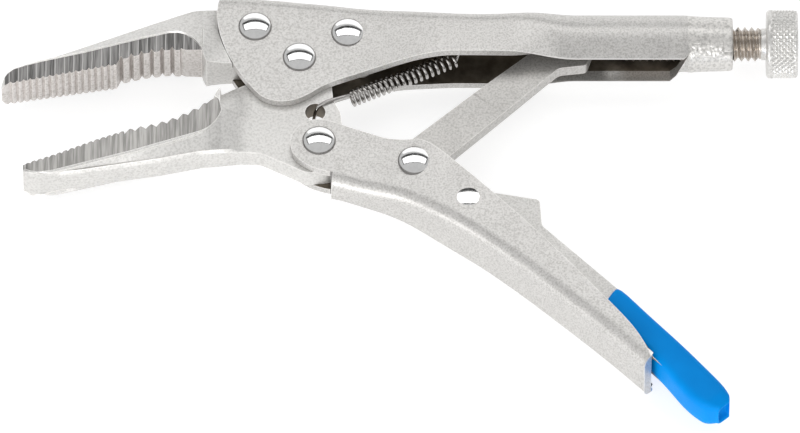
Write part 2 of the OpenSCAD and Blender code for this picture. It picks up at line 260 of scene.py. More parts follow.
# ---------------------------------------------------------------- materials
def new_material(name):
    material = bpy.data.materials.new(name)
    material.use_nodes = True
    nodes = material.node_tree.nodes
    return material, nodes, material.node_tree.links, nodes["Principled BSDF"]


def add_noise(nodes, links, source, scale, detail=3.0, rough=0.6, stretch=(1, 1, 1)):
    mapping = nodes.new("ShaderNodeMapping")
    mapping.inputs["Scale"].default_value = stretch
    links.new(source, mapping.inputs["Vector"])
    texture = nodes.new("ShaderNodeTexNoise")
    texture.inputs["Scale"].default_value = scale
    texture.inputs["Detail"].default_value = detail
    texture.inputs["Roughness"].default_value = rough
    links.new(mapping.outputs["Vector"], texture.inputs["Vector"])
    return texture.outputs["Fac"]


def add_ramp(nodes, links, source, stops):
    ramp = nodes.new("ShaderNodeValToRGB")
    while len(ramp.color_ramp.elements) < len(stops):
        ramp.color_ramp.elements.new(0.5)
    for element, (position, colour) in zip(ramp.color_ramp.elements, stops):
        element.position = position
        element.color = (*colour, 1) if isinstance(colour, tuple) else (colour, colour, colour, 1)
    links.new(source, ramp.inputs["Fac"])
    return ramp.outputs["Color"]


def add_range(nodes, links, source, low, high, from_low=0.3, from_high=0.7):
    remap = nodes.new("ShaderNodeMapRange")
    remap.inputs["From Min"].default_value = from_low
    remap.inputs["From Max"].default_value = from_high
    remap.inputs["To Min"].default_value = low
    remap.inputs["To Max"].default_value = high
    links.new(source, remap.inputs["Value"])
    return remap.outputs["Result"]


def add_bump(nodes, links, height, strength, distance, below=None):
    bump = nodes.new("ShaderNodeBump")
    bump.inputs["Strength"].default_value = strength
    bump.inputs["Distance"].default_value = distance * MM
    links.new(height, bump.inputs["Height"])
    if below:
        links.new(below, bump.inputs["Normal"])
    return bump.outputs["Normal"]


def blend_colour(nodes, links, fac, a, b, kind="MIX"):
    node = nodes.new("ShaderNodeMix")
    node.data_type = "RGBA"
    node.blend_type = kind
    for socket, value in ((node.inputs["Factor"], fac), (node.inputs[6], a), (node.inputs[7], b)):
        if isinstance(value, (int, float)):
            socket.default_value = value
        elif isinstance(value, tuple):
            socket.default_value = (*value, 1)
        else:
            links.new(value, socket)
    return node.outputs[2]


def object_place(nodes):
    """Coordinates that move with the piece, in metres."""
    return nodes.new("ShaderNodeTexCoord").outputs["Object"]


def painted_edge_highlight(nodes, links, radius):
    """0 on flat metal and up to 1 along edges, from the difference that a small rounding makes: where the
    edge highlight is painted.
    """
    bevel = nodes.new("ShaderNodeBevel")
    bevel.samples = 4
    bevel.inputs["Radius"].default_value = radius * MM
    geometry = nodes.new("ShaderNodeNewGeometry")
    dot = nodes.new("ShaderNodeVectorMath")
    dot.operation = "DOT_PRODUCT"
    links.new(bevel.outputs["Normal"], dot.inputs[0])
    links.new(geometry.outputs["Normal"], dot.inputs[1])
    return add_range(nodes, links, dot.outputs["Value"], 1, 0, 0.86, 0.995)


def blasted_steel(name, light, dark, roughness=(0.34, 0.46), grain=2600, bump=0.25):
    """Satin plate over blasted steel: fine grain, faint clouding, and a painted highlight along the edges."""
    material, nodes, links, shader = new_material(name)
    where = object_place(nodes)
    fine = add_noise(nodes, links, where, grain, 2.0, 0.7)
    clouds = add_noise(nodes, links, where, 160, 3.0, 0.55)
    speckle = add_ramp(nodes, links, fine, [(0.36, dark), (0.56, light)])
    shade = add_ramp(nodes, links, clouds, [(0.3, 0.93), (0.7, 1.0)])
    colour = blend_colour(nodes, links, 1.0, speckle, shade, "MULTIPLY")
    # the edges are painted lighter: a painted highlight on their rounding
    edges = painted_edge_highlight(nodes, links, 0.35)
    colour = blend_colour(nodes, links, edges, colour, tuple(min(1, c * 1.3) for c in light))
    links.new(colour, shader.inputs["Base Color"])
    shader.inputs["Metallic"].default_value = 0.65
    links.new(add_range(nodes, links, clouds, *roughness), shader.inputs["Roughness"])
    links.new(add_bump(nodes, links, fine, bump, 0.03), shader.inputs["Normal"])
    return material


def ground_steel(name, light, dark, spacing=None):
    """Steel ground across the jaw: fine lines that run up the face, with a light one now and then."""
    material, nodes, links, shader = new_material(name)
    where = object_place(nodes)
    lines = add_noise(nodes, links, where, 1500, 3.0, 0.7, (1.0, 0.04, 0.04))
    colour = add_ramp(nodes, links, lines, [(0.4, dark), (0.6, light)])
    if spacing:
        wave = nodes.new("ShaderNodeTexWave")
        wave.wave_type, wave.bands_direction = "BANDS", "X"
        wave.inputs["Scale"].default_value = 0.314 / (spacing * MM)
        wave.inputs["Distortion"].default_value = 0.6
        links.new(where, wave.inputs["Vector"])
        bright = add_ramp(nodes, links, wave.outputs["Fac"], [(0.93, 0.0), (0.99, 1.0)])
        colour = blend_colour(nodes, links, bright, colour, tuple(min(1, c * 1.45) for c in light))
    links.new(colour, shader.inputs["Base Color"])
    shader.inputs["Metallic"].default_value = 1.0
    shader.inputs["Roughness"].default_value = 0.38
    shader.inputs["Anisotropic"].default_value = 0.4
    links.new(add_bump(nodes, links, lines, 0.4, 0.02), shader.inputs["Normal"])
    return material


def polished_steel(name, colour, roughness):
    material, nodes, links, shader = new_material(name)
    where = object_place(nodes)
    marks = add_noise(nodes, links, where, 900, 4.0, 0.6)
    links.new(add_ramp(nodes, links, marks, [(0.3, tuple(c * 0.93 for c in colour)), (0.6, colour)]),
              shader.inputs["Base Color"])
    shader.inputs["Metallic"].default_value = 1.0
    links.new(add_range(nodes, links, marks, roughness * 0.7, roughness * 1.4), shader.inputs["Roughness"])
    links.new(add_bump(nodes, links, marks, 0.06, 0.02), shader.inputs["Normal"])
    return material


def shadowed_steel(name):
    """The inside of the handles: unpolished plate, painted dark brown as the shade inside the channels."""
    material, nodes, links, shader = new_material(name)
    where = object_place(nodes)
    mottle = add_noise(nodes, links, where, 320, 4.0, 0.6)
    links.new(add_ramp(nodes, links, mottle, [(0.3, (0.12, 0.10, 0.078)), (0.7, (0.27, 0.24, 0.195))]),
              shader.inputs["Base Color"])
    shader.inputs["Metallic"].default_value = 0.85
    links.new(add_range(nodes, links, mottle, 0.35, 0.6), shader.inputs["Roughness"])
    links.new(add_bump(nodes, links, mottle, 0.2, 0.04), shader.inputs["Normal"])
    return material


def dipped_vinyl(name):
    """Dipped vinyl: even blue with slow waves from the dip, a soft sheen and faint scuffs."""
    material, nodes, links, shader = new_material(name)
    where = object_place(nodes)
    waves = add_noise(nodes, links, where, 140, 2.0, 0.5)
    scuffs = add_noise(nodes, links, where, 1800, 3.0, 0.65)
    links.new(add_ramp(nodes, links, waves, [(0.3, (0.0, 0.245, 0.72)), (0.7, (0.0, 0.275, 0.78))]),
              shader.inputs["Base Color"])
    links.new(add_range(nodes, links, scuffs, 0.38, 0.5), shader.inputs["Roughness"])
    shader.inputs["Specular IOR Level"].default_value = 0.06
    slow = add_bump(nodes, links, waves, 0.25, 0.4)
    links.new(add_bump(nodes, links, scuffs, 0.08, 0.03, slow), shader.inputs["Normal"])
    return material


WARM = (0.66, 0.648, 0.63)
WARM_DARK = (0.47, 0.458, 0.44)
HANDLE_STEEL = blasted_steel("handle_steel", WARM, WARM_DARK)
SLEEVE_STEEL = blasted_steel("sleeve_steel", (0.74, 0.725, 0.70), (0.50, 0.49, 0.47), (0.28, 0.5), 1500, 0.6)
JAW_STEEL = blasted_steel("jaw_steel", (0.72, 0.71, 0.69), (0.58, 0.57, 0.55), (0.36, 0.48), 1900, 0.3)
LINK_STEEL = blasted_steel("link_steel", (0.62, 0.605, 0.585), (0.45, 0.44, 0.42), (0.34, 0.5), 2200, 0.3)
LEVER_STEEL = blasted_steel("lever_steel", (0.66, 0.65, 0.63), (0.5, 0.49, 0.47), (0.34, 0.46), 2600, 0.25)
KNOB_STEEL = blasted_steel("knob_steel", (0.74, 0.73, 0.71), (0.58, 0.57, 0.55), (0.26, 0.36), 2600, 0.2)
# the ground facets are painted dark: a painted reflection of dark surroundings on bright ground steel
UPPER_FACET = ground_steel("upper_ground_steel_painted_reflection", (0.27, 0.265, 0.26), (0.11, 0.108, 0.105), 1.9)
LOWER_FACET = ground_steel("lower_ground_steel_painted_reflection", (0.42, 0.41, 0.395), (0.24, 0.235, 0.225))
TOOTH_STEEL = blasted_steel("tooth_steel", (0.68, 0.65, 0.63), (0.50, 0.47, 0.44), (0.36, 0.5), 1600, 0.35)
RIVET_STEEL = polished_steel("rivet_steel", (0.86, 0.86, 0.855), 0.10)
# a dark steel for the rivets' rims: painted shadow in the gap round each head
RIVET_PAINTED_SHADOW = polished_steel("rivet_painted_shadow", (0.30, 0.29, 0.28), 0.3)
WIRE_STEEL = polished_steel("wire_steel", (0.50, 0.485, 0.47), 0.18)
THREAD_STEEL = polished_steel("thread_steel", (0.52, 0.475, 0.43), 0.28)
# painted shade: the dark brown of the handles' insides and the jaw hub's hole stands in for the shade inside
# them
INSIDE_PAINTED_SHADE = shadowed_steel("handle_inside_painted_shade")
VINYL = dipped_vinyl("dipped_vinyl")

# ---------------------------------------------------------------- handles
BEND_R = 2.8
SHEET = 1.8
SPINE_STEPS, BEND_STEPS, WALL_STEPS = 4, 7, 8
FRONT_HALF = node_box("jaw_pivot_rivet")[1].z - 1.1
FIXED_HALF = node_box("fixed_handle")[1].z
MOVABLE_HALF = node_box("movable_handle")[1].z
SCREW_Y = drawn(JOINTS["knob_turn"]["pos_m"]).y


def flare(x, grip_half, length):
    """Half the width of a handle at x: narrow across the jaws, wide in the hand."""
    return mix(FRONT_HALF, grip_half, smooth_step(x, 9, 9 + length))


def channel_half(back, inward, edge, grip_half, length, inset):
    """Half a section of a bent-up channel, from the middle of its spine to a wall's free edge."""
    height = (Vector(edge) - Vector(back)).length
    radius = max(0.15, min(BEND_R, height) - inset)

    def half_at(point):
        return flare(point[0], grip_half, length) - inset

    def inside(depth):
        return (back[0] + inward[0] * (inset + depth), back[1] + inward[1] * (inset + depth))
    out = []
    for k in range(SPINE_STEPS):
        out.append((*inside(0), (half_at(back) - radius) * k / SPINE_STEPS))
    for k in range(BEND_STEPS + 1):
        angle = math.pi / 2 * k / BEND_STEPS
        point = inside(radius * (1 - math.cos(angle)))
        out.append((*point, half_at(point) - radius + radius * math.sin(angle)))
    foot = inside(radius)
    for k in range(1, WALL_STEPS + 1):
        point = (mix(foot[0], edge[0], k / WALL_STEPS), mix(foot[1], edge[1], k / WALL_STEPS))
        out.append((*point, half_at(point)))
    return out


def both_walls(half):
    return [(x, y, -z) for x, y, z in reversed(half[1:])] + half


def channel(rows, inward_side, grip_half, length, reshape=None):
    """Closed rings, outer skin then inner, over rows of (back x, back y, edge x, edge y)."""
    rings = []
    rows = through(rows, 5)
    for i, (bx, by, ex, ey) in enumerate(rows):
        ahead, behind = rows[min(i + 1, len(rows) - 1)], rows[max(i - 1, 0)]
        along = Vector((ahead[0] - behind[0], ahead[1] - behind[1])).normalized()
        inward = (-along.y * inward_side, along.x * inward_side)
        skins = []
        for inset in (0, SHEET):
            skin = both_walls(channel_half((bx, by), inward, (ex, ey), grip_half, length, inset))
            skins.append(reshape(skin, bx, inset) if reshape else skin)
        rings.append(skins[0] + skins[1][::-1])
    return rings


def sheet_piece(name, rings, material, body, node):
    """A bent sheet from its rings. The faces of the inner skin get the painted shade of the inside."""
    points, faces = loft(rings)
    obj = build(name, points, faces, material, INSIDE_PAINTED_SHADE)
    skin = len(rings[0]) // 2
    inner = set()
    for ring in rings:
        for x, y, z in ring[skin:]:
            inner.add((round(x, 3), round(y, 3), round(z, 3)))
    # the inner skin's faces take the painted shade
    for polygon in obj.data.polygons:
        corners = [drawn(obj.data.vertices[v].co) for v in polygon.vertices]
        if all((round(c.x, 3), round(c.y, 3), round(c.z, 3)) in inner for c in corners):
            polygon.material_index = 1
    edge_bevel(obj, 0.3)
    return settle(obj, body, replaces=[node])


# The fixed handle's section closes in from a wide channel to a round one with a slot below
CLOSED_R = 6.0
LIP_HALF = 4.05
LIP_Y = -0.5
CLOSING = (43.0, 57.0)


def closed_half(x, inset):
    """Half a section of the part that wraps the screw: an arc, then a straight run to the slot's lip."""
    radius = CLOSED_R - inset
    lip = Vector((LIP_HALF, LIP_Y - SCREW_Y + inset * 1.42))
    leaves = math.atan2(lip.y, lip.x) + math.acos(radius / lip.length)
    starts, turns = math.pi / 2, math.radians(75)
    angles = [mix(starts, turns, k / SPINE_STEPS) for k in range(SPINE_STEPS)]
    angles += [mix(turns, leaves, k / BEND_STEPS) for k in range(BEND_STEPS + 1)]
    out = [(x, SCREW_Y + radius * math.sin(a), radius * math.cos(a)) for a in angles]
    foot = out[-1]
    for k in range(1, WALL_STEPS + 1):
        t = k / WALL_STEPS
        out.append((x, mix(foot[1], SCREW_Y + lip.y, t), mix(foot[2], lip.x, t)))
    return out


def sleeve_skin(x, radius):
    """Both sides of the swaged sleeve, which meet at a seam on the near side under the screw."""
    turns, leaves = math.radians(75), math.radians(-45)

    def side(last):
        angles = [mix(math.pi / 2, turns, k / SPINE_STEPS) for k in range(SPINE_STEPS)]
        angles += [mix(turns, leaves, k / BEND_STEPS) for k in range(BEND_STEPS + 1)]
        angles += [mix(leaves, last, k / WALL_STEPS) for k in range(1, WALL_STEPS + 1)]
        return [(x, SCREW_Y + radius * math.sin(a), radius * math.cos(a)) for a in angles]
    near, far = side(SEAM), side(-math.pi - SEAM)
    return [(x, y, -z) for x, y, z in reversed(far[1:])] + near


def closing_in(skin, x, inset):
    """The wide section blended into the closed one, and that into the sleeve, sooner on the far side."""
    closing = smooth_step(x, *CLOSING)
    if closing == 0:
        return skin
    closed = both_walls(closed_half(x, inset))
    sleeve = sleeve_skin(x, SLEEVE_BORE_R if inset else interpolate(x, SLEEVE_OUTLINE))
    near = smooth_step(x, *NEAR_SWAGE)
    far = max(0, min(1, (x - FAR_SWAGE[0]) / (FAR_SWAGE[1] - FAR_SWAGE[0])))
    out = []
    for wide, narrow, swaged in zip(skin, closed, sleeve):
        swage = near if narrow[2] > 0 else far
        out.append(tuple(mix(mix(a, b, closing), c, swage) for a, b, c in zip(wide, narrow, swaged)))
    return out


SLEEVE_END = node_box("fixed_handle")[1].x - 0.6
SLEEVE_BORE_R = 3.65
SLEEVE_START = 80.5
# where the slotted section turns into the sleeve, on the side that is up and on the other
NEAR_SWAGE = (79.4, 81.2)
FAR_SWAGE = (77.3, 80.9)
WELD_SPAN = (80.6, 88.6)
WELD_ANGLES = (-69, -26)
SLEEVE_OUTLINE = [(76, 6.0), (81, 5.9), (82.5, 5.75), (SLEEVE_END - 0.6, 5.55), (SLEEVE_END - 0.2, 5.4),
                  (SLEEVE_END, 5.1)]
SEAM = math.radians(-50)
# back x, back y, edge x, edge y
FIXED_ROWS = [
    (-16.6, 15.95, -16.9, 13.2), (-16.0, 15.95, -17.1, 10.5), (-15.0, 15.93, -16.8, 7.4),
    (-13.4, 15.9, -16.1, 4.4), (-11.6, 15.8, -14.9, 1.0), (-9.4, 15.65, -12.9, -2.9),
    (-7.4, 15.5, -10.5, -6.5), (-5.4, 15.3, -7.8, -9.6),
    (-3.2, 15.1, -4.6, -10.8), (-0.8, 14.8, -1.4, -10.6), (2.2, 14.5, 1.6, -9.3), (6.0, 14.1, 5.2, -6.9),
    (11.0, 13.4, 10.4, -4.7), (20.8, 11.7, 20.8, -1.7), (29.0, 10.5, 29.0, -0.35), (36.0, 10.15, 36.0, -0.2),
    (43.0, 10.3, 43.0, -0.3), (50.0, 11.1, 50.0, -0.4), (57.0, 12.0, 57.0, -0.5), (68.0, 12.0, 68.0, -0.5),
    (78.0, 12.0, 77.6, -0.5)]


def fixed_handle():
    rings = channel(FIXED_ROWS, -1, FIXED_HALF, 22, closing_in)
    stations = [78.5, 79.0, 79.5, 80.0, 80.4, 80.8, 81.0, 81.3, 81.9, 83, 85, 87]
    stations += [SLEEVE_END - d for d in (0.6, 0.4, 0.2, 0.1, 0)]
    for x in stations:
        skins = [closing_in(both_walls(closed_half(x, inset)), x, inset) for inset in (0, SHEET)]
        rings.append(skins[0] + skins[1][::-1])
    obj = sheet_piece("handle_fixed", rings, HANDLE_STEEL, "fixed_side", "fixed_handle")
    obj.data.materials.append(SLEEVE_STEEL)
    for polygon in obj.data.polygons:
        if drawn(polygon.center).x > SLEEVE_START:
            polygon.material_index = 2

    # the rough weld over the sleeve's seam
    points, faces, columns, rows = [], [], 46, 24
    for i in range(columns + 1):
        x = mix(*WELD_SPAN, i / columns)
        for k in range(rows + 1):
            angle = math.radians(mix(*WELD_ANGLES, k / rows))
            border = min(i / columns, 1 - i / columns, k / rows * 0.7, (1 - k / rows) * 0.7)
            coarse = noise.noise(Vector((x * 1.7, angle * 9, 3.0)))
            fine = noise.noise(Vector((x * 4.1, angle * 22, 7.0)))
            lump = coarse + 0.6 * fine
            lift = mix(-0.2, 0.10 + 0.16 * lump, smooth_step(border + 0.05 * lump, 0.0, 0.16))
            radius = interpolate(x, SLEEVE_OUTLINE) + lift
            points.append((x, SCREW_Y + radius * math.sin(angle), radius * math.cos(angle)))
    for i in range(columns):
        for k in range(rows):
            a = i * (rows + 1) + k
            faces.append((a, a + 1, a + rows + 2, a + rows + 1))
    obj = build("sleeve_weld", points, faces, SLEEVE_STEEL)
    settle(obj, "fixed_side", sharp=80)

    # the ear inside the back that the spring hooks to
    anchor = rounded([(35, 8.9, 0), (35, 4.7, 1.0), (39.4, 4.7, 1.0), (39.4, 8.9, 0)])
    points, faces = slab(anchor, -0.6, 0.6, [(36.8, 6.2, 0.65)])
    obj = build("spring_anchor", points, faces, HANDLE_STEEL)
    edge_bevel(obj, 0.15, 2)
    settle(obj, "fixed_side")


MOVABLE_ROWS = [
    (6.6, -30.75, 6.3, -28.2), (6.9, -30.8, 5.0, -27.9), (7.2, -30.85, 2.6, -27.0),
    (7.5, -30.95, 0.3, -25.5), (7.9, -31.05, -1.3, -23.6), (8.3, -31.15, -1.85, -21.2),
    (8.8, -31.3, -1.4, -18.9), (9.3, -31.45, 0.1, -16.8), (9.9, -31.65, 2.8, -15.4),
    (10.8, -31.95, 6.0, -15.6), (13.0, -32.7, 9.8, -17.1), (16.0, -33.6, 14.0, -18.8),
    (19.0, -34.6, 18.0, -20.5), (22.0, -35.9, 21.6, -21.2), (25.0, -37.6, 25.0, -21.4),
    (28.0, -39.5, 28.2, -23.4), (32.0, -42.1, 32.4, -27.5), (38.0, -46.4, 38.6, -33.6),
    (46.0, -53.0, 47.4, -42.7), (54.0, -60.2, 55.6, -52.0), (60.0, -65.7, 61.0, -58.4),
    (65.0, -70.5, 65.4, -63.6), (68.4, -73.9, 69.0, -68.4), (70.4, -75.9, 71.3, -72.6),
    (70.9, -76.4, 72.2, -74.9)]


def movable_handle():
    rings = channel(MOVABLE_ROWS, 1, MOVABLE_HALF, 26)
    sheet_piece("handle_movable", rings, HANDLE_STEEL, "movable_side", "movable_handle")


# ---------------------------------------------------------------- rivets
DOME_STEPS = 12


def rivet_piece(name, node, body, head_r, head_h):
    """A domed rivet: its head stands on a short straight rim, painted dark as the shadow in the gap round the
    head.
    """
    low, high = node_box(node)
    centre = (low + high) / 2
    top = high.z
    base = top - head_h
    ball = (head_r ** 2 + head_h ** 2) / (2 * head_h)
    rim_h = 0.12
    profile = [(base - 0.05, head_r)]
    for k in range(DOME_STEPS + 1):
        radius = head_r * (1 - k / DOME_STEPS)
        rise = math.sqrt(ball ** 2 - radius ** 2) - (ball - head_h)
        profile.append((base + rim_h + (head_h - rim_h) * rise / head_h, max(radius, POLE_R)))
    body_r = head_r * 0.75
    whole = [(-along, radius) for along, radius in reversed(profile)]
    whole += [(-(base - 0.05), body_r), (base - 0.05, body_r)] + profile
    points, faces = turned(whole, (centre.x, centre.y, 0), "z")
    obj = build(name, points, faces, RIVET_STEEL, RIVET_PAINTED_SHADOW)
    # the rim faces get the painted shadow round the head
    for polygon in obj.data.polygons:
        at = drawn(polygon.center) - Vector((centre.x, centre.y, 0))
        if abs(at.z) > base - 0.1 and at.xy.length > head_r * 0.93:
            polygon.material_index = 1
    settle(obj, body, sharp=50, replaces=[node])


def rivets():
    for node, body in (("upper_jaw_rivet_front", "fixed_side"), ("upper_jaw_rivet_rear", "fixed_side"),
                       ("jaw_pivot_rivet", "fixed_side"), ("handle_pivot_rivet", "movable_side"),
                       ("toggle_pivot_rivet", "movable_side")):
        rivet_piece("rivet_" + node.replace("_rivet", ""), node, body, 3.45, 1.1)
    rivet_piece("rivet_release_lever", "release_lever_rivet", "movable_side", 2.75, 0.45)


# ---------------------------------------------------------------- jaws
TIP_X = node_box("upper_jaw")[0].x
BACK_HALF = 2.35
THIN = 2.38
RECESS = 0.35


def jaw_half(x):
    """Half the width of a jaw, which widens evenly from its tip."""
    return mix(4.15, 5.5, (x - TIP_X) / 41.2)


def in_recess(polygon, at):
    """True for the ground faces, which face sideways and are sunk below the jaw's full width."""
    return abs(polygon.normal.z) > 0.8 and abs(at.z) < jaw_half(at.x) - RECESS * 0.6


def tooth_row(start, end, pitch, depth, valley):
    """(x, depth) stations along a row of teeth: a flat land and a V valley in each pitch."""
    count = round((end - start) / pitch)
    pitch = (end - start) / count
    out = []
    for i in range(count):
        for u, d in ((0.0, 1.0), (valley * 0.5, 0.45), (valley, 0.0), (0.5, -0.08), (1 - valley, 0.0),
                     (1 - valley * 0.5, 0.45)):
            out.append((start + (i + u) * pitch, d * depth))
    return out


EAR_EDGE = [(-2.9, -12.9), (1.0, -14.9), (4.4, -16.1), (7.4, -16.8), (10.5, -17.1), (13.2, -16.9)]
UPPER_TEETH = [(TIP_X, -6.6), (-37.9, -2.1), (-37.3, -0.9), (-32.0, 0.6), (-27.4, 1.35), (-20.2, 1.25)]
UPPER_FACET_TOP = [(TIP_X, -6.0), (-61.3, -5.1), (-60.6, -4.1), (-59.1, -2.8), (-56.5, -1.9), (-53.7, -1.1),
                   (-44.5, 1.0), (-33.0, 4.1), (-27.1, 5.5), (-25.1, 5.6), (-23.6, 5.1), (-22.2, 4.1),
                   (-21.2, 3.0), (-20.5, 1.9), (-20.2, 1.3)]
UPPER_BACK = [(TIP_X, -6.0), (-60.6, -3.9), (-56.5, -1.2), (-53.7, 0.2), (-52.3, 0.9), (-43.2, 4.5),
              (-32.8, 8.7), (-25.5, 11.6), (-22.0, 12.9), (-19.2, 13.2), (-12.0, 13.2)]


def upper_jaw():
    stations = [(TIP_X + d, 0) for d in (0, 0.25, 0.7, 1.3)]
    stations += tooth_row(TIP_X + 1.9, -38.1, 1.36, 0.42, 0.3)
    stations += [(-37.9, 0), (-37.3, 0)]
    stations += tooth_row(-36.9, -24.2, 2.08, 0.85, 0.24)
    stations += [(-23.6, 0), (-22.9, 0), (-22.2, 0), (-21.2, 0), (-20.5, 0), (-20.2, 0)]
    stations += [(x, 0) for x in (-20.0, -19.8, -19.5, -19.2, -18.7, -18.2, -17.7, -17.2, -16.9)]
    sections = []
    for x, groove in stations:
        back, top = interpolate(x, UPPER_BACK), interpolate(x, UPPER_FACET_TOP)
        tooth = interpolate(x, UPPER_TEETH) + groove
        half = jaw_half(x)
        nose = min(1.0, 0.55 + (x - TIP_X) / 2.0)
        if x > -20.1:
            side = mix(half, 4.0, smooth_step(x, -20.4, -17.5))
            drop = smooth_step(x, -20.2, -19.2)
            low = mix(0.6, -1.3, drop)
            ring = [(back, 0), (back, BACK_HALF - 0.5), (back - 0.4, BACK_HALF),
                    (mix(back, 1.3, 0.5), mix(BACK_HALF, side, 0.6)),
                    (3.2, side), (mix(1.2, -0.6, drop), side),
                    (low + 0.05, side - 0.12), (low, side - 0.4), (low, 0)]
        else:
            wide = min(BACK_HALF, half) * nose
            facet = (half - RECESS) * nose
            rim = mix(facet, half * nose, smooth_step(back - top, 0.2, 1.6))
            ring = [(back, 0), (back, wide - 0.5), (back - 0.35, wide + 0.1),
                    (mix(back, top, 0.5), mix(wide, rim, 0.52)), (top + 0.2, rim), (top, facet),
                    (mix(top, tooth, 0.5), facet), (tooth, facet), (tooth, 0)]
        # the last stretch follows the edge of the handle's ear
        lean = smooth_step(x, -19.2, -16.9)
        sections.append([(mix(x, interpolate(y, EAR_EDGE) - 0.2, lean), y, z) for y, z in mirrored(ring)])
    end = sections[-1]
    sections.append([(x + 0.05, y, max(-2.2, min(2.2, z))) for x, y, z in end])
    sections.append([(-11.5, y, z) for x, y, z in sections[-1]])
    points, faces = loft(sections)
    obj = build("jaw_upper", points, faces, JAW_STEEL)
    obj.data.materials.append(UPPER_FACET)
    obj.data.materials.append(TOOTH_STEEL)
    for polygon in obj.data.polygons:
        at = drawn(polygon.center)
        # the ground facet takes the dark painted reflection
        if at.x < -20.3 and in_recess(polygon, at) and at.y < interpolate(at.x, UPPER_FACET_TOP):
            polygon.material_index = 1
        if at.x < -20.25 and at.y < interpolate(at.x, UPPER_TEETH) + 0.95 and polygon.normal.y < -0.3:
            polygon.material_index = 2
    settle(obj, "fixed_side", sharp=32, replaces=["upper_jaw"])

    tang = rounded([(-16.5, 13.2, 0.5), (-16.5, -0.9, 0.3), (-6.4, -0.9, 0.3), (-6.4, 3.5, 3), (0, 6.8, 4),
                    (7, 0, 3), (14.5, -1.0, 1.5), (14.5, 10.5, 2), (-14, 13.9, 2)])
    points, faces = slab(tang, -2.3, 2.3)
    obj = build("jaw_upper_tang", points, faces, JAW_STEEL)
    edge_bevel(obj, 0.2, 2)
    settle(obj, "fixed_side")


LOWER_TEETH = [(-56.4, -26.0), (-50.9, -24.1), (-41.5, -20.3), (-34.3, -17.8), (-29.5, -16.8), (-25.4, -15.3),
               (-21.6, -13.3), (-20.0, -12.2), (-17.2, -10.6), (-16.6, -11.4), (-16.1, -13.5)]
LOWER_FACET_LOW = [(-56.4, -27.3), (-55.6, -27.9), (-54.0, -28.2), (-51.0, -27.9), (-34.8, -23.4),
                   (-20.4, -18.8), (-18.7, -17.9), (-17.5, -16.6), (-16.7, -15.3), (-16.1, -13.7)]
LOWER_TOP = [(-17.4, -10.2), (-17.2, -9.4), (-16.6, -8.6), (-15.2, -7.8), (-13.4, -6.5), (-9.0, -5.0)]
LOWER_RIDGE = [(-56.9, -27.6), (-56.0, -28.3), (-53.5, -28.7), (-51.0, -28.5), (-45.1, -27.7), (-36.9, -26.3),
               (-28.6, -24.9), (-20.4, -23.1), (-12.2, -22.3), (-8.0, -22.4)]
LOWER_TEETH_END = -17.45
LOWER_HOLE = (3.3, -12.4)
LOWER_HOLE_R = 2.1


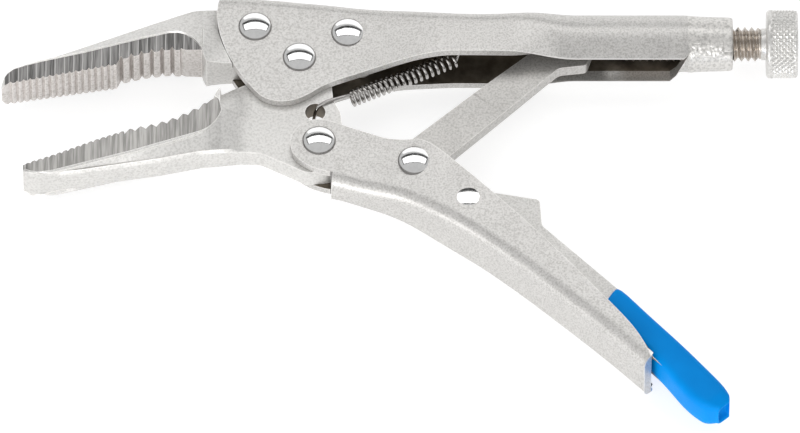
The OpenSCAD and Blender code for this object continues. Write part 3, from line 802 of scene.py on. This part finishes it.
def lower_jaw():
    first = -56.9
    stations = [(first + d, 0) for d in (0, 0.25, 0.6, 1.0)]
    stations += tooth_row(first + 1.5, -36.0, 1.3, 0.4, 0.3)
    stations += tooth_row(-36.0, -18.6, 2.05, 0.8, 0.42)
    stations += [(x, 0) for x in (-18.3, -17.8, -17.4, -17.2, -16.9, -16.6, -16.3, -16.1, -15.6, -14.8, -13.8,
                                  -12.8, -11.8, -10.8, -9.8, -8.0)]
    sections = []
    for x, groove in stations:
        tooth = interpolate(x, LOWER_TEETH) - groove
        facet_low = interpolate(x, LOWER_FACET_LOW)
        ridge = interpolate(x, LOWER_RIDGE)
        half = jaw_half(x) * mix(0.8, 1.0, smooth_step(x, first - 0.4, first + 1.2))
        along = smooth_step(x, -55.5, -49.0)
        flat = mix(half - 0.4, 2.5, along)
        # a fillet under the facet, a sunk panel below it and a raised line along the underside
        relief = along * (1 - smooth_step(x, -23, -17))
        fillet_y = facet_low - 0.14 - 0.6 * relief
        panel_y = mix(facet_low - 0.5, ridge + 0.75, along)
        panel_z = mix(half - 0.1, 3.2, along)
        facet = half - RECESS
        if x > -16.15:
            fade = smooth_step(x, -16.6, -9.8)
            # the end dips under the hub's face, so that no step shows
            sink = 0.2 * smooth_step(x, -9.9, -8.0)
            body = mix(half, THIN, fade) - sink
            top = interpolate(x, LOWER_TOP)
            shoulder = mix(2.9, THIN, smooth_step(x, -16.6, -13.4)) - sink
            panel = mix(panel_z, THIN, fade) - sink
            ring = [(top, 0), (top, shoulder - 0.2), (top - 0.4, shoulder),
                    (mix(top, -13.6, 0.6), mix(shoulder, body, 0.8)),
                    (-13.5, body), (-13.65, body), (-13.8, body), (-13.84, body), (-13.96, body - 0.01),
                    (panel_y, panel), (panel_y - 0.2, panel),
                    (ridge + 0.12, mix(flat + 0.1, THIN, fade) - sink),
                    (ridge, mix(flat - 0.2, 2.2, fade) - sink), (ridge, 0)]
        else:
            if x > LOWER_TEETH_END:
                top, rim = max(tooth, interpolate(x, LOWER_TOP)), half
                crown, brink = rim - 0.2, tooth + 0.12
            else:
                top, rim = tooth, facet
                crown, brink = facet - 0.05, tooth - 0.03
            ring = [(top, 0), (top, crown), (top - 0.02, rim), (brink, rim),
                    (tooth - 0.05, facet), (facet_low, facet), (facet_low - 0.12, half),
                    (fillet_y, half - 0.1 * relief), (fillet_y - 0.12, half - 0.01 - 0.6 * relief),
                    (panel_y, panel_z), (panel_y - 0.2, panel_z + 0.16 * relief),
                    (ridge + 0.12, flat + 0.1), (ridge, flat - 0.2), (ridge, 0)]
        sections.append([(x, y, z) for y, z in mirrored(ring)])
    points, faces = loft(sections)
    obj = build("jaw_lower", points, faces, JAW_STEEL)
    obj.data.materials.append(LOWER_FACET)
    obj.data.materials.append(TOOTH_STEEL)
    for polygon in obj.data.polygons:
        at = drawn(polygon.center)
        # the ground facet takes the dark painted reflection
        if at.x < -16.2 and in_recess(polygon, at) and at.y > interpolate(at.x, LOWER_FACET_LOW):
            polygon.material_index = 1
        if at.x < -17.5 and at.y > interpolate(at.x, LOWER_TEETH) - 1.0 and polygon.normal.y > 0.3:
            polygon.material_index = 2
    settle(obj, "jaw", sharp=32, replaces=["lower_jaw"])

    hub = rounded([(-12.5, -6.3, 0.5), (-12.5, -22.25, 0.2), (-8, -22.4, 3), (1.5, -27.3, 3), (10, -26.5, 5),
                   (8.5, -12.5, 2), (7.0, -9.4, 1.0), (6.5, -4, 0.5), (4, 5.2, 3), (-5, 5.2, 3),
                   (-8, -4.4, 2)])
    points, faces = slab(hub, -2.36, 2.36, [(*LOWER_HOLE, LOWER_HOLE_R)])
    obj = build("jaw_lower_hub", points, faces, JAW_STEEL, INSIDE_PAINTED_SHADE)
    # the hole's wall gets the painted shade of the inside
    for polygon in obj.data.polygons:
        if (drawn(polygon.center).xy - Vector(LOWER_HOLE)).length < LOWER_HOLE_R + 0.05:
            polygon.material_index = 1
    edge_bevel(obj, 0.25, 3)
    settle(obj, "jaw")


# ---------------------------------------------------------------- toggle link and release lever
def toggle_link():
    outline = rounded([(20.6, -31.2, 3), (29.6, -24.1, 3), (42.0, -12.2, 20), (53.6, -0.9, 2.4),
                       (59.4, -0.2, 1.2), (60.8, 4.0, 2), (57.5, 8, 3), (49.5, 4.3, 6), (36.0, -7.2, 30),
                       (23.4, -18.4, 3.6), (18.4, -26.8, 3.2)])
    points, faces = slab(outline, -1.5, 1.5)
    obj = build("link_toggle", points, faces, LINK_STEEL)
    edge_bevel(obj, 0.35, 3)
    settle(obj, "link", replaces=["toggle_link"])


LEVER_HALF = node_box("release_lever")[1].z


def release_lever():
    outline = rounded([(31.6, -34.8, 2.2), (34.6, -32.4, 2.4), (41, -32.9, 1), (49.6, -34.5, 1),
                       (50, -40.8, 2), (66.2, -57, 2), (87.1, -81.2, 2.2), (84.6, -86, 2.2), (72, -72.4, 2),
                       (61.5, -62, 8), (47, -48.4, 8), (33, -39.6, 2.4)])
    points, faces = slab(outline, -LEVER_HALF, LEVER_HALF)
    obj = build("lever_release", points, faces, LEVER_STEEL)
    edge_bevel(obj, 0.7, 4)
    settle(obj, "lever", replaces=["release_lever"])


# top x, top y, bottom x, bottom y
GRIP_ROWS = [
    (64.6, -57.4, 62.0, -61.2), (65.0, -56.6, 62.2, -62.2), (65.8, -56.1, 62.8, -63.3),
    (67.6, -57.6, 64.8, -64.8), (72.0, -62.5, 69.1, -69.1), (78.4, -69.4, 74.6, -75.7),
    (83.2, -74.9, 78.9, -81.6), (86.6, -79.0, 82.0, -84.6), (88.1, -81.3, 83.8, -85.4),
    (88.7, -82.6, 85.4, -85.4)]
GRIP_SIDES = 40
GRIP_SQUARENESS = 0.42


def dipped_grip():
    """The dipped coat: a soft rounded sleeve with a rolled mouth, and an open pocket at its far end."""
    half = node_box("release_lever_grip")[1].z
    sections = []
    rows = through(GRIP_ROWS, 4)
    for i, (tx, ty, bx, by) in enumerate(rows):
        mouth = smooth_step(i, -2, 5)
        tip = smooth_step(i, len(rows) - 1, len(rows) - 8)
        thick = half * mix(0.86, 1.0, mouth) * mix(0.80, 1.0, tip)
        top, bottom = Vector((tx, ty)), Vector((bx, by))
        middle, across = (top + bottom) / 2, (top - bottom) / 2
        ring = []
        for k in range(GRIP_SIDES):
            angle = math.tau * k / GRIP_SIDES
            c, s = math.cos(angle), math.sin(angle)
            u = math.copysign(abs(c) ** GRIP_SQUARENESS, c)
            v = math.copysign(abs(s) ** GRIP_SQUARENESS, s)
            ring.append((middle.x + across.x * u, middle.y + across.y * u, thick * v))
        sections.append(ring)
    # the end turns in to a rim round a shallow pocket
    last = sections[-1]
    centre = Vector((sum(p[0] for p in last), sum(p[1] for p in last), sum(p[2] for p in last))) / len(last)
    ahead = Vector((0.66, -0.75, 0))
    for scale, forward in ((0.93, 0.45), (0.84, 0.55), (0.74, 0.4), (0.66, -0.4), (0.6, -1.0)):
        sections.append([tuple(centre + (Vector(p) - centre) * scale + ahead * forward) for p in last])
    low, high = node_box("release_lever_grip")
    sections = [[(min(x, high.x - 0.02), max(y, low.y + 0.02), z) for x, y, z in ring]
                for ring in sections]
    points, faces = loft(sections)
    obj = build("grip_dipped", points, faces, VINYL)
    add_modifier(obj, "SUBSURF", levels=1, render_levels=1)
    settle(obj, "lever", sharp=60, replaces=["release_lever_grip"])


# ---------------------------------------------------------------- spring
WIRE_R = 0.38
COIL_OUTER_R = 1.85
COIL_FROM = Vector((10.6, -7.6, 0))
COIL_TO = Vector((32.2, 2.3, 0))
COIL_TURNS = 19.5
FRONT_HOOK = [(3.0, -12.0, -1.2), (3.3, -11.6, 1.0), (4.0, -11.0, 2.5), (5.6, -10.1, 2.75), (7.6, -9.2, 2.6),
              (9.2, -8.5, 2.3), (10.2, -7.9, 1.9)]
REAR_HOOK = [(33.0, 3.3, 1.0), (33.9, 4.7, 1.1), (35.3, 5.9, 1.1), (36.6, 6.4, 0.7), (37.0, 6.2, -0.1),
             (36.6, 6.0, -0.9)]


def tension_spring():
    coil_r = COIL_OUTER_R - WIRE_R
    along = (COIL_TO - COIL_FROM).normalized()
    side = Vector((-along.y, along.x, 0))
    up = Vector((0, 0, 1))
    length = (COIL_TO - COIL_FROM).length
    path = [Vector(point) for point in FRONT_HOOK]
    per_turn = 22
    count = round(COIL_TURNS * per_turn)
    for k in range(count + 1):
        t = k / count
        # the coils lie closer near the hooks, and open a little towards the rear
        travel = t * (0.86 + 0.14 * t)
        angle = math.pi / 2 + math.tau * COIL_TURNS * t
        around = side * math.cos(angle) + up * math.sin(angle)
        path.append(COIL_FROM + along * (length * travel) + around * coil_r)
    path += [Vector(point) for point in REAR_HOOK]
    points, faces, sides = [], [], 10
    frame_up = Vector((0.3, -0.4, 0.9))
    for i, at in enumerate(path):
        ahead = (path[min(i + 1, len(path) - 1)] - path[max(i - 1, 0)]).normalized()
        frame_up = (frame_up - ahead * frame_up.dot(ahead)).normalized()
        across = ahead.cross(frame_up)
        for k in range(sides):
            angle = math.tau * k / sides
            points.append(tuple(at + (frame_up * math.cos(angle) + across * math.sin(angle)) * WIRE_R))
    for i in range(len(path) - 1):
        for k in range(sides):
            a, b = i * sides + k, i * sides + (k + 1) % sides
            faces.append((a, b, b + sides, a + sides))
    faces += [tuple(range(sides)), tuple(range(len(points) - sides, len(points)))]
    obj = build("spring_tension", points, faces, WIRE_STEEL)
    settle(obj, None, sharp=60, replaces=["tension_spring"])
    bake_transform(obj)


# ---------------------------------------------------------------- adjusting screw
THREAD_R = 3.6
THREAD_PITCH = 1.4
THREAD_DEPTH = 0.78
KNOB_LOW, KNOB_HIGH = node_box("screw_knob")
KNURL_DIAMONDS, KNURL_STEPS, CORNER_STEPS = 36, 36, 5


def adjusting_screw():
    start = node_box("adjusting_screw")[0].x + 0.02
    end = KNOB_LOW.x - 0.9
    around, per_pitch = 48, 12
    sections = []
    count = round((end - start) / THREAD_PITCH * per_pitch)
    for i in range(count + 1):
        x = mix(start, end, i / count)
        fade = min(1, i / 8, (count - i) / 8)
        ring = []
        for k in range(around):
            angle = math.tau * k / around
            phase = ((x - start) / THREAD_PITCH - k / around) % 1.0
            crest = abs(phase - 0.5) * 2
            groove = min(1, max(0, 1.18 * (1 - crest) - 0.06))
            radius = THREAD_R - THREAD_DEPTH * mix(0.7, groove, fade)
            ring.append((x, SCREW_Y + radius * math.cos(angle), radius * math.sin(angle)))
        sections.append(ring)
    points, faces = loft(sections)
    obj = build("screw_thread", points, faces, THREAD_STEEL)
    settle(obj, "screw", sharp=60, replaces=["adjusting_screw"])

    profile = [(end - 0.3, POLE_R), (end - 0.3, 3.0), (end, 3.3), (KNOB_LOW.x - 0.1, 3.3),
               (KNOB_LOW.x + 0.3, 3.4), (KNOB_LOW.x + 0.3, POLE_R)]
    points, faces = turned(profile, (0, SCREW_Y, 0), "x")
    obj = build("screw_neck", points, faces, KNOB_STEEL)
    settle(obj, "screw", sharp=50)

    low, high = node_box("screw_tip")
    profile = [(low.x, POLE_R), (low.x, 1.8), (low.x + 0.25, 2.25), (low.x + 1.0, 2.9), (start - 0.35, 2.9),
               (start - 0.1, 2.65), (start - 0.1, 1.6), (high.x - 0.3, 1.6), (high.x, 1.3), (high.x, POLE_R)]
    points, faces = turned(profile, (0, SCREW_Y, 0), "x")
    obj = build("screw_end", points, faces, KNOB_STEEL)
    settle(obj, "screw_slide", sharp=50, replaces=["screw_tip"])


def screw_knob():
    """A diamond-knurled knob with rounded corners and a turned recess in its end face."""
    radius = (KNOB_HIGH.z - KNOB_LOW.z) / 2
    width = KNOB_HIGH.x - KNOB_LOW.x
    corner, depth = 0.8, 0.42
    around = KNURL_DIAMONDS * 6
    profile = [(0, POLE_R), (0, radius - corner - 0.6), (0, radius - corner)]
    for k in range(1, CORNER_STEPS):
        angle = math.pi / 2 * k / CORNER_STEPS
        profile.append((corner - corner * math.cos(angle), radius - corner + corner * math.sin(angle)))
    for k in range(KNURL_STEPS + 1):
        profile.append((mix(corner, width - corner, k / KNURL_STEPS), radius))
    for k in range(1, CORNER_STEPS):
        angle = math.pi / 2 * (1 - k / CORNER_STEPS)
        along, r = corner - corner * math.cos(angle), radius - corner + corner * math.sin(angle)
        profile.append((width - along, r))
    profile += [(width, radius - corner), (width, radius - 1.7), (width - 0.35, radius - 2.0),
                (width - 0.35, POLE_R)]
    pitch = math.tau * radius / KNURL_DIAMONDS
    sections = []
    for along, r in profile:
        knurl = smooth_step(along, 0.7, 1.5) * smooth_step(width - along, 0.1, 0.8)
        ring = []
        for k in range(around):
            angle = math.tau * k / around
            u = (angle * radius + along) / pitch % 1.0
            v = (angle * radius - along) / pitch % 1.0
            valley = max(abs(u - 0.5), abs(v - 0.5)) * 2
            cut = depth * max(0.0, (valley - 0.2) / 0.8) * knurl
            y, z = (r - cut) * math.cos(angle), (r - cut) * math.sin(angle)
            ring.append((KNOB_LOW.x + along, SCREW_Y + y, z))
        sections.append(ring)
    points, faces = loft(sections)
    obj = build("knob_knurled", points, faces, KNOB_STEEL)
    settle(obj, "screw", sharp=42, replaces=["screw_knob"])


fixed_handle()
movable_handle()
rivets()
upper_jaw()
lower_jaw()
toggle_link()
release_lever()
dipped_grip()
tension_spring()
adjusting_screw()
screw_knob()

# ---------------------------------------------------------------- stage, light and camera
width = cad_high.x - cad_low.x
centre = (cad_low + cad_high) / 2


def stage_panel(name, middle, facing, across, size, colour, glow=0.0):
    """A flat studio panel: a floor, a light or a dark flag."""
    normal = Vector(facing).normalized()
    u = Vector(across).normalized()
    v = normal.cross(u)
    corners = [middle + u * (sx * size[0] / 2) + v * (sy * size[1] / 2)
               for sx, sy in ((-1, -1), (1, -1), (1, 1), (-1, 1))]
    mesh = bpy.data.meshes.new(name)
    mesh.from_pydata(corners, [], [(0, 1, 2, 3)])
    obj = bpy.data.objects.new(name, mesh)
    bpy.context.scene.collection.objects.link(obj)
    material, _, _, shader = new_material(name)
    shader.inputs["Base Color"].default_value = (*colour, 1)
    shader.inputs["Roughness"].default_value = 0.8
    if glow:
        shader.inputs["Emission Color"].default_value = (1, 1, 1, 1)
        shader.inputs["Emission Strength"].default_value = glow
    mesh.materials.append(material)
    return obj


FLOOR_GAP = 0.00005
stage_panel("floor", Vector((centre.x, centre.y, cad_low.z - FLOOR_GAP)), (0, 0, 1), (1, 0, 0), (4, 4),
            (0.45, 0.45, 0.45), 0.72)


def area_light(name, direction, distance, size, power):
    light = bpy.data.lights.new(name, "AREA")
    light.shape = "RECTANGLE"
    light.size, light.size_y = size
    light.energy = power
    obj = bpy.data.objects.new(name, light)
    obj.location = centre + Vector(direction).normalized() * distance
    obj.rotation_mode = "QUATERNION"
    obj.rotation_quaternion = Vector(direction).to_track_quat("Z", "Y")
    bpy.context.scene.collection.objects.link(obj)


# a panel behind the tool, with a dark frame: the polished rivets show it as a framed bright bar
BEHIND = Vector((0, 0.545, 0.839))
ABOVE = Vector((0, -0.839, 0.545))
PANEL_FAR = 0.6
dark = stage_panel("panel_frame", centre + BEHIND * PANEL_FAR - ABOVE * 0.02, -BEHIND, (1, 0, 0),
                   (0.98, 0.44), (0.03, 0.03, 0.03))
bright = stage_panel("panel_light", centre + BEHIND * (PANEL_FAR - 0.01) + ABOVE * 0.03, -BEHIND, (1, 0, 0),
                     (0.86, 0.28), (0.8, 0.8, 0.8), 0.85)
for panel in (dark, bright):
    panel.visible_camera = False
area_light("low_front_softbox", (-0.35, -0.9, 0.16), 0.75, (0.9, 0.2), 3.0)
area_light("low_back_softbox", (0.2, 0.95, 0.2), 0.8, (1.3, 0.5), 1.3)
area_light("front_softbox", (-0.1, -0.75, 0.75), 0.7, (0.9, 0.3), 0.7)

world = bpy.data.worlds.new("studio")
world.use_nodes = True
world.node_tree.nodes["Background"].inputs["Color"].default_value = (1.0, 1.0, 1.0, 1)
world.node_tree.nodes["Background"].inputs["Strength"].default_value = 0.60
bpy.context.scene.world = world
bpy.context.scene.view_settings.view_transform = "Standard"

ELEVATION = math.radians(57)
camera_data = bpy.data.cameras.new("camera")
# so long a lens that the picture has almost no perspective
camera_data.lens = 900
camera_data.sensor_width = 36
camera = bpy.data.objects.new("camera", camera_data)
bpy.context.scene.collection.objects.link(camera)
back = Vector((0, -math.cos(ELEVATION), math.sin(ELEVATION)))
LOOK_DOWN = 0.0016
target = Vector((centre.x, centre.y - LOOK_DOWN, centre.z))
camera.location = target + back * (width * camera_data.lens / camera_data.sensor_width)
camera.rotation_mode = "QUATERNION"
camera.rotation_quaternion = (-back).to_track_quat("-Z", "Y")
camera_data.clip_start, camera_data.clip_end = 0.05, 40
bpy.context.scene.camera = camera
